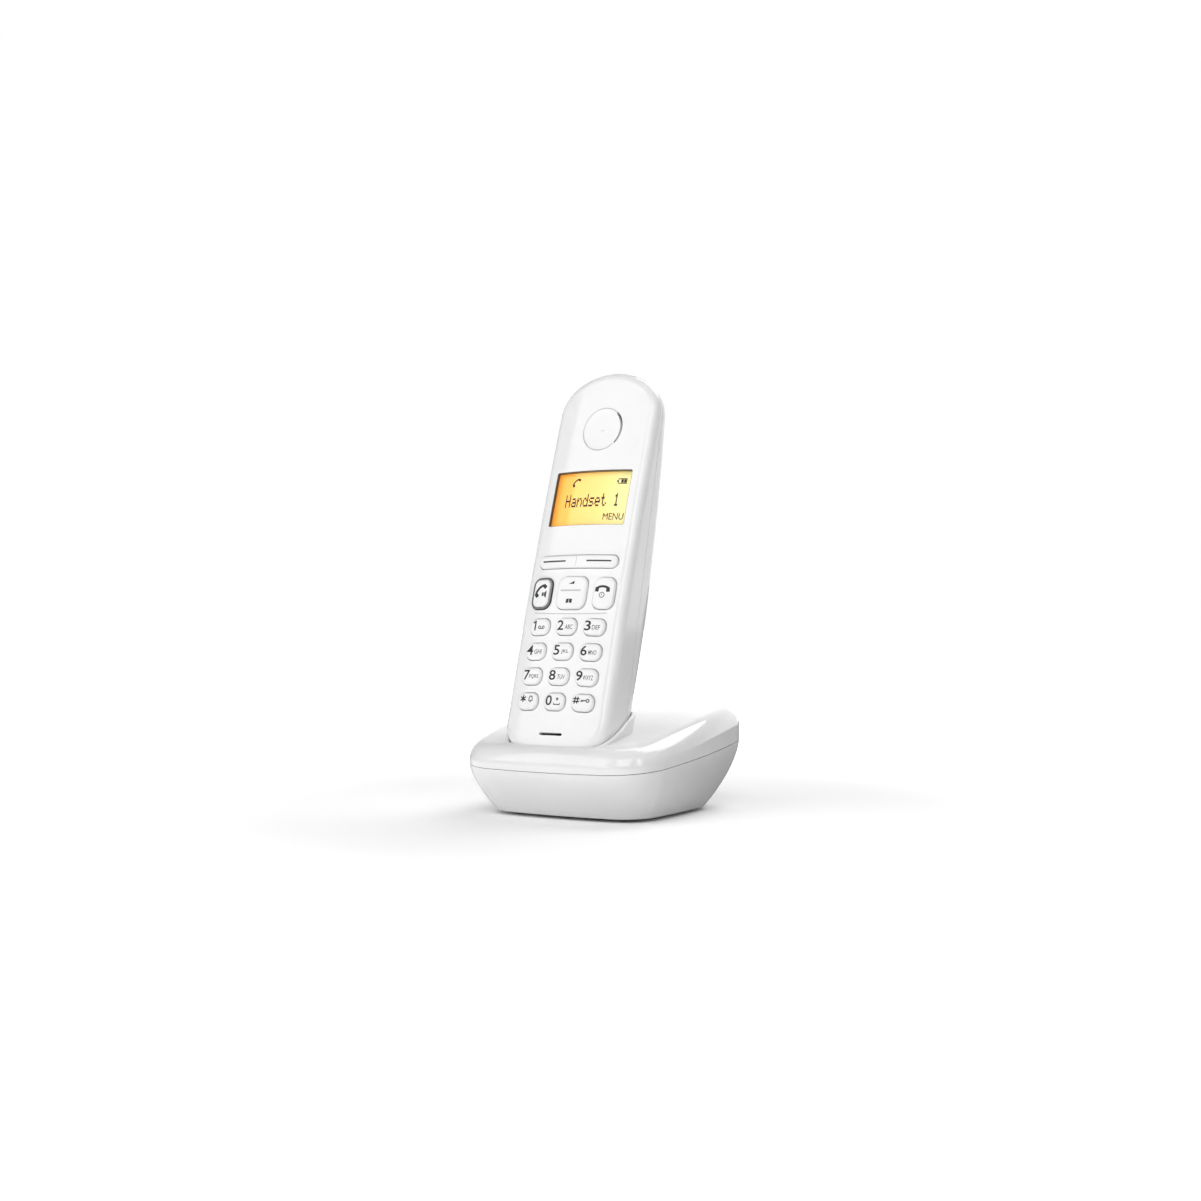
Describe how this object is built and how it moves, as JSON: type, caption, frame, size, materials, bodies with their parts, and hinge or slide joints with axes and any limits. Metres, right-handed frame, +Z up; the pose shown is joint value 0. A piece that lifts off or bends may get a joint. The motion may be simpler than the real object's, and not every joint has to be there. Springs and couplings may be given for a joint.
{
  "type": "cordless phone",
  "caption": "Cordless telephone handset with display and keypad standing in a rounded desk charging base; the handset lifts off, keys press, battery door opens.",
  "frame": {"origin": "on the desk, under the middle of the base", "axes": "+Z up, the phone's face looks towards -Y, +X is to the right of the face"},
  "size_m": [0.094, 0.101, 0.1825],
  "materials": {
    "base_white": "gloss",
    "handset_white": "gloss",
    "key_white": "gloss",
    "silver_rim": "satin",
    "silicone": "matte",
    "window_clear": "polished",
    "display_amber": "backlit",
    "light_guide": "satin",
    "foot_rubber": "matte",
    "circuit_green": "satin",
    "screw_steel": "satin",
    "tinned_steel": "satin",
    "cell_wrap": "gloss",
    "contact_metal": "polished",
    "dark_plastic": "matte",
    "component_dark": "satin"
  },
  "bodies": {
    "base": {"antenna_left": "tinned_steel", "antenna_right": "tinned_steel", "base_board": "circuit_green", "base_capacitor": "component_dark", "base_lower_shell": "base_white", "base_screw_1": "screw_steel", "base_screw_2": "screw_steel", "base_shield": "tinned_steel", "base_upper_shell": "base_white", "contact_holder": "dark_plastic", "line_socket": "dark_plastic", "power_socket": "dark_plastic", "rubber_foot_1": "foot_rubber", "rubber_foot_2": "foot_rubber", "rubber_foot_3": "foot_rubber", "rubber_foot_4": "foot_rubber"},
    "handset": {"battery_cell_left": "cell_wrap", "battery_cell_right": "cell_wrap", "battery_plate_left": "contact_metal", "battery_plate_right": "contact_metal", "battery_spring_left": "contact_metal", "battery_spring_right": "contact_metal", "battery_tray": "dark_plastic", "charge_pad_left": "contact_metal", "charge_pad_right": "contact_metal", "display_light_guide": "light_guide", "display_panel": "display_amber", "display_window": "window_clear", "earpiece_cover": "handset_white", "earpiece_speaker": "component_dark", "handset_board": "circuit_green", "handset_front_cover": "handset_white", "handset_rear_cover": "handset_white", "handset_screw_1": "screw_steel", "handset_screw_2": "screw_steel", "handset_shield": "tinned_steel", "key_mat": "silicone", "loudspeaker": "component_dark", "microphone": "component_dark"},
    "key_1": {"key_1": "key_white"},
    "key_2": {"key_2": "key_white"},
    "key_3": {"key_3": "key_white"},
    "key_4": {"key_4": "key_white"},
    "key_5": {"key_5": "key_white"},
    "key_6": {"key_6": "key_white"},
    "key_7": {"key_7": "key_white"},
    "key_8": {"key_8": "key_white"},
    "key_9": {"key_9": "key_white"},
    "key_star": {"key_star": "key_white"},
    "key_0": {"key_0": "key_white"},
    "key_hash": {"key_hash": "key_white"},
    "key_end": {"key_end": "key_white"},
    "key_talk": {"key_talk": "key_white", "key_talk_rim": "silver_rim"},
    "key_navigation": {"key_navigation": "key_white"},
    "key_soft_bar": {"key_soft_bar": "key_white"},
    "battery_cover": {"battery_cover": "handset_white"},
    "paging_key": {"paging_key": "key_white"},
    "charge_contact_left": {"charge_contact_left": "contact_metal"},
    "charge_contact_right": {"charge_contact_right": "contact_metal"}
  },
  "joints": [
    {"name": "handset_lift", "type": "slide", "parent": "base", "child": "handset", "axis": [0, 0.308, 0.9514], "range_m": [0, 0.06]},
    {"name": "key_1_press", "type": "slide", "parent": "handset", "child": "key_1", "axis": [0, 0.9514, -0.308], "range_m": [0, 0.0006], "stiffness_N_per_m": 400},
    {"name": "key_2_press", "type": "slide", "parent": "handset", "child": "key_2", "axis": [0, 0.9514, -0.308], "range_m": [0, 0.0006], "stiffness_N_per_m": 400},
    {"name": "key_3_press", "type": "slide", "parent": "handset", "child": "key_3", "axis": [0, 0.9514, -0.308], "range_m": [0, 0.0006], "stiffness_N_per_m": 400},
    {"name": "key_4_press", "type": "slide", "parent": "handset", "child": "key_4", "axis": [0, 0.9514, -0.308], "range_m": [0, 0.0006], "stiffness_N_per_m": 400},
    {"name": "key_5_press", "type": "slide", "parent": "handset", "child": "key_5", "axis": [0, 0.9514, -0.308], "range_m": [0, 0.0006], "stiffness_N_per_m": 400},
    {"name": "key_6_press", "type": "slide", "parent": "handset", "child": "key_6", "axis": [0, 0.9514, -0.308], "range_m": [0, 0.0006], "stiffness_N_per_m": 400},
    {"name": "key_7_press", "type": "slide", "parent": "handset", "child": "key_7", "axis": [0, 0.9514, -0.308], "range_m": [0, 0.0006], "stiffness_N_per_m": 400},
    {"name": "key_8_press", "type": "slide", "parent": "handset", "child": "key_8", "axis": [0, 0.9514, -0.308], "range_m": [0, 0.0006], "stiffness_N_per_m": 400},
    {"name": "key_9_press", "type": "slide", "parent": "handset", "child": "key_9", "axis": [0, 0.9514, -0.308], "range_m": [0, 0.0006], "stiffness_N_per_m": 400},
    {"name": "key_star_press", "type": "slide", "parent": "handset", "child": "key_star", "axis": [0, 0.9514, -0.308], "range_m": [0, 0.0006], "stiffness_N_per_m": 400},
    {"name": "key_0_press", "type": "slide", "parent": "handset", "child": "key_0", "axis": [0, 0.9514, -0.308], "range_m": [0, 0.0006], "stiffness_N_per_m": 400},
    {"name": "key_hash_press", "type": "slide", "parent": "handset", "child": "key_hash", "axis": [0, 0.9514, -0.308], "range_m": [0, 0.0006], "stiffness_N_per_m": 400},
    {"name": "key_end_press", "type": "slide", "parent": "handset", "child": "key_end", "axis": [0, 0.9514, -0.308], "range_m": [0, 0.0006], "stiffness_N_per_m": 400},
    {"name": "key_talk_press", "type": "slide", "parent": "handset", "child": "key_talk", "axis": [0, 0.9514, -0.308], "range_m": [0, 0.0006], "stiffness_N_per_m": 400},
    {"name": "key_navigation_rock", "type": "hinge", "parent": "handset", "child": "key_navigation", "pos_m": [0, -0.02388, 0.0886], "axis": [1, 0, 0], "range_deg": [-3, 3], "stiffness_Nm_per_rad": 0.05},
    {"name": "key_soft_bar_rock", "type": "hinge", "parent": "handset", "child": "key_soft_bar", "pos_m": [0, -0.01937, 0.10123], "axis": [0, 0.308, 0.9514], "range_deg": [-1.5, 1.5], "stiffness_Nm_per_rad": 0.08},
    {"name": "battery_cover_hinge", "type": "hinge", "parent": "handset", "child": "battery_cover", "pos_m": [0, -0.00639, 0.06717], "axis": [-1, 0, 0], "range_deg": [0, 35]},
    {"name": "paging_key_press", "type": "slide", "parent": "base", "child": "paging_key", "axis": [0, -1, 0], "range_m": [0, 0.0008], "stiffness_N_per_m": 500},
    {"name": "charge_contact_left_spring", "type": "slide", "parent": "base", "child": "charge_contact_left", "axis": [0, -0.308, -0.9514], "range_m": [0, 0.0008], "stiffness_N_per_m": 300},
    {"name": "charge_contact_right_spring", "type": "slide", "parent": "base", "child": "charge_contact_right", "axis": [0, -0.308, -0.9514], "range_m": [0, 0.0008], "stiffness_N_per_m": 300}
  ]
}
